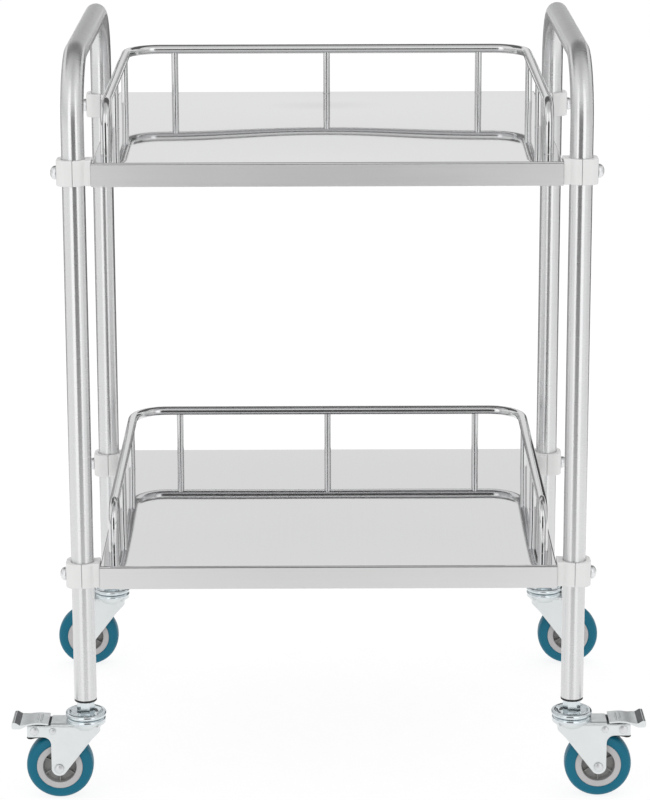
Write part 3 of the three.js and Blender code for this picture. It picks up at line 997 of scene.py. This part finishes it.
def pedal_plan(c, end, half):
    """The pedal from above: a neck over the wing of the fork, then the wide toe."""
    root, toe = PEDAL.start - 1 * MM, end + 0.5 * MM
    near, wide = c.fork_reach - 2 * MM, c.fork_reach + 4 * MM
    corners = [
        (root, -PEDAL.neck, 0),
        (near, -PEDAL.neck, 4 * MM),
        (wide, -half, 4 * MM),
        (toe, -half, 3.5 * MM),
        (toe, half, 3.5 * MM),
        (wide, half, 4 * MM),
        (near, PEDAL.neck, 4 * MM),
        (root, PEDAL.neck, 0),
    ]
    outline = fillet(corners, 0)
    return solid("plan", lambda bm: prism(bm, outline, 70 * MM, 110 * MM, "z"))


def grip_rib(x, level):
    """One of the two raised ribs across the pedal."""
    section = arc(x, level - 0.2 * MM, 1.2 * MM, 0, 180, 8)
    return solid("rib", lambda bm: prism(bm, section, -9 * MM, 9 * MM))


def brake_web(c):
    """The part under the pedal that joins it to the pivot pin."""
    pivot = middle(f"brake_pivot_pin_{c.corner}")
    x, z = abs(pivot.x - c.stem_x), pivot.z
    top = PEDAL.top - PEDAL.sheet / 2
    outline = [
        (x - 4.1 * MM, z - 3.5 * MM),
        (c.fork_front + 6 * MM, 76.6 * MM),
        (c.fork_front + 6 * MM, top),
        (PEDAL.start + 0.4 * MM, top),
        (PEDAL.start + 0.4 * MM, z),
        (PEDAL.start - 2.6 * MM, z - 1 * MM),
        (x - 1 * MM, z + 4 * MM),
        (x - 4.1 * MM, z + 3.5 * MM),
    ]
    return solid("web", lambda bm: prism(bm, outline, -SHOE_HALF, SHOE_HALF))


def brake_pedal(c):
    lo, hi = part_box(f"brake_pedal_{c.corner}")
    end = max(abs(x - c.stem_x) for x in (lo.x, hi.x))
    half = (hi.y - lo.y) / 2
    foot = PEDAL.top - PEDAL.skirt
    top = pedal_top(end)
    strip = top + [(end, foot + 2 * MM), (end - 0.8 * MM, foot), (end - 4.2 * MM, foot)]
    strip += [(x, z - PEDAL.sheet) for x, z in reversed(top) if x < end - 5 * MM]
    obj = solid(f"{c.corner}_brake_pedal", lambda bm: prism(bm, strip, -half, half))
    for side in (-1, 1):
        boolean(obj, pedal_flange(c, top, end, side * half), "UNION")
    boolean(obj, pedal_plan(c, end, half), "INTERSECT")
    for x in GRIP_RIBS:
        boolean(obj, grip_rib(x, PEDAL.top + pedal_rise(x, end)), "UNION")
    boolean(obj, brake_web(c), "UNION")
    bevel(obj, 0.5 * MM, 3, 50)
    even_normals(obj)
    # The top faces on the toe's slope get the dark zinc as painted shade.
    for face in obj.data.polygons:
        on_top = face.normal.z > 0.5 and face.center.z > PEDAL.top - 2 * MM
        in_painted_toe_shade = end - TOE.ridge + 0.6 * MM < face.center.x < end - 3.6 * MM
        face.material_index = 1 if on_top and in_painted_toe_shade else 0
    c.put(obj, f"brake_{c.corner}", "zinc_steel", "brake_pedal", ZINC, TOE_SHADE_ZINC)


def brake_shoe(c):
    """The strip under the wing of the fork, just over the tyre. It is black as painted shade for the dark gap
    there.
    """
    front, tip = c.fork_front, c.fork_reach
    outline = [
        (front + 1.5 * MM, 74.4 * MM),
        (tip - 8 * MM, 72.0 * MM),
        (tip - 4 * MM, 71.0 * MM),
        (tip - 1 * MM, 71.3 * MM),
        (tip + 1.0 * MM, 72.6 * MM),
        (tip + 0.3 * MM, 74.0 * MM),
        (tip - 1.8 * MM, 73.2 * MM),
        (tip - 4 * MM, 73.0 * MM),
        (tip - 8 * MM, 74.2 * MM),
        (front + 8 * MM, 75.6 * MM),
        (front + 4.5 * MM, 77.4 * MM),
        (front + 1.5 * MM, 77.4 * MM),
    ]
    obj = solid(f"{c.corner}_brake_shoe", lambda bm: prism(bm, outline, -SHOE_HALF, SHOE_HALF))
    bevel(obj, 0.3 * MM, 2, 50)
    # Its black colour is painted shade, not the strip's own colour.
    c.put(obj, f"brake_{c.corner}", "black_plastic", "brake_pedal", BLACK)


def brake_pins(c):
    for node, head in PIN_HEADS.items():
        spot = middle(f"{node}_{c.corner}")
        rivet(c, node, abs(spot.x - c.stem_x), spot.z, PIN.shaft, head, PIN.height)


# ---------------------------------------------------------------- stage, light and camera

# name: centre, width, height, turn in degrees, shade, and whether it lies flat
CARDS = {
    "front_flag": ((0, -1.3, 0.55), 0.84, 1.1, 0, 0.08, False),
    "left_soft": ((-0.78, -1.3, 1.2), 0.66, 2.4, 0, 1.35, False),
    "right_soft": ((0.78, -1.3, 1.2), 0.66, 2.4, 0, 1.35, False),
    "right_flag": ((1.4, 1.9, 0.6), 1.6, 1.2, -45, 0.05, False),
    "left_flag": ((-1.4, 1.9, 0.6), 1.6, 1.2, 45, 0.40, False),
    "right_screen": ((2.2, 0.05, 1.2), 1.7, 2.4, 90, 0.72, False),
    "back_canopy": ((0, 2.2, 2.6), 5.0, 3.4, 0, 0.12, True),
    "back_mat": ((0, 4.0, 0.001), 7.0, 6.2, 0, 0.25, True),
}

# shades of the world in reflections, from straight down (0) over the horizon (0.5) to straight up (1)
REFLECTED_SKY = (
    (0.0, 0.30),
    (0.11, 0.40),
    (0.15, 0.90),
    (0.30, 0.88),
    (0.60, 1.0),
    (0.85, 0.75),
    (1.0, 0.55),
)


def glow(name, shade):
    """A plain grey emission."""
    material = bpy.data.materials.new(name)
    material.use_nodes = True
    tree = material.node_tree
    tree.nodes.clear()
    emission = tree.nodes.new("ShaderNodeEmission")
    emission.inputs["Color"].default_value = (shade, shade, shade, 1)
    output = tree.nodes.new("ShaderNodeOutputMaterial")
    tree.links.new(emission.outputs[0], output.inputs["Surface"])
    return material


def card(name, centre, width, height, turn, shade, lying):
    """A studio card that only shows in reflections."""
    bm = bmesh.new()
    bmesh.ops.create_grid(bm, x_segments=1, y_segments=1, size=0.5)
    obj = link_object(name, bm)
    obj.scale = (width, height, 1)
    obj.rotation_euler = (0 if lying else math.pi / 2, 0, math.radians(turn))
    obj.location = centre
    obj.data.materials.append(glow(name, shade))
    obj.visible_camera = False
    obj.visible_diffuse = False
    obj.visible_shadow = False


def studio_floor():
    """White paper, lit from behind as well, so that shadows on it stay faint."""
    bpy.ops.mesh.primitive_plane_add(size=120, location=(0, 0, -0.3 * MM))
    floor = bpy.context.object
    floor.name = "studio_floor"
    m = Nodes("floor_paper")
    m.set(Roughness=0.9, Specular_IOR_Level=0.0, Emission_Strength=0.86, Emission_Color=(1, 1, 1, 1))
    speck = m.noise(m.spot((30, 30, 30)), detail=2)
    m.colour(speck, *grey(0.15, 0.17))
    floor.data.materials.append(m.material)


def studio_world():
    """White for the eye and the floor, and a shaded horizon and ceiling for reflections."""
    world = bpy.data.worlds.new("studio")
    bpy.context.scene.world = world
    world.use_nodes = True
    tree = world.node_tree
    plain = tree.nodes["Background"]
    plain.inputs["Color"].default_value = (1, 1, 1, 1)
    plain.inputs["Strength"].default_value = 1.0
    mirrored = tree.nodes.new("ShaderNodeBackground")
    coordinates = tree.nodes.new("ShaderNodeTexCoord")
    split = tree.nodes.new("ShaderNodeSeparateXYZ")
    tree.links.new(coordinates.outputs["Generated"], split.inputs[0])
    ramp = tree.nodes.new("ShaderNodeValToRGB")
    while len(ramp.color_ramp.elements) < len(REFLECTED_SKY):
        ramp.color_ramp.elements.new(1.0)
    for element, (height, shade) in zip(ramp.color_ramp.elements, REFLECTED_SKY):
        element.position = height
        element.color = (shade, shade, shade, 1)
    tree.links.new(split.outputs["Z"], ramp.inputs["Fac"])
    tree.links.new(ramp.outputs["Color"], mirrored.inputs["Color"])
    path = tree.nodes.new("ShaderNodeLightPath")
    mix = tree.nodes.new("ShaderNodeMixShader")
    tree.links.new(path.outputs["Is Glossy Ray"], mix.inputs["Fac"])
    tree.links.new(plain.outputs[0], mix.inputs[1])
    tree.links.new(mirrored.outputs[0], mix.inputs[2])
    tree.links.new(mix.outputs[0], tree.nodes["World Output"].inputs["Surface"])


def soft_light(name, spot, target, size, power):
    """An area light that doesn't show in reflections."""
    data = bpy.data.lights.new(name, "AREA")
    data.size = size
    data.energy = power
    lamp = bpy.data.objects.new(name, data)
    lamp.location = spot
    lamp.rotation_euler = (Vector(target) - Vector(spot)).to_track_quat("-Z", "Y").to_euler()
    lamp.visible_camera = False
    lamp.visible_glossy = False
    bpy.context.scene.collection.objects.link(lamp)


def camera():
    """At 1.33 m eye height, 3.35 m in front of the middle, tilted down, with a small shift."""
    data = bpy.data.cameras.new("camera")
    data.lens = 134.4
    data.sensor_width = 36
    data.shift_y = -0.1
    data.clip_end = 200
    data.dof.use_dof = False
    cam = bpy.data.objects.new("camera", data)
    cam.location = (-0.0037, -3.3549, 1.3294)
    cam.rotation_euler = (math.pi / 2 - 0.243, 0.003, -0.001)
    bpy.context.scene.collection.objects.link(cam)
    bpy.context.scene.camera = cam


def studio():
    studio_floor()
    studio_world()
    cart_middle = (0, 0, 0.4)
    soft_light("key", (-1.6, -2.2, 2.8), cart_middle, 1.6, 8)
    soft_light("top", (0.6, 0.6, 3.2), cart_middle, 2.4, 8)
    for name, values in CARDS.items():
        card(name, *values)
    bpy.context.scene.view_settings.view_transform = "Standard"


# ---------------------------------------------------------------- the cart

studio()
camera()

for side in ("left", "right"):
    side_frame(side)
for level in LEVELS:
    shelf(level)
    guard_rail(level)
    for corner in CORNERS:
        clamp_half(level, corner, "outer")
        clamp_half(level, corner, "inner")
        clamp_bolt(level, corner)
for corner in CORNERS:
    c = Caster(corner)
    tube_plug(c)
    caster_stem(c)
    caster_fork(c)
    rivet(c, "wheel_axle", c.trail, c.wheel_radius, AXLE.shaft, AXLE.head, AXLE.height)
    wheel_hub(c)
    tyre(c)
    if c.braked:
        brake_pedal(c)
        brake_shoe(c)
        brake_pins(c)
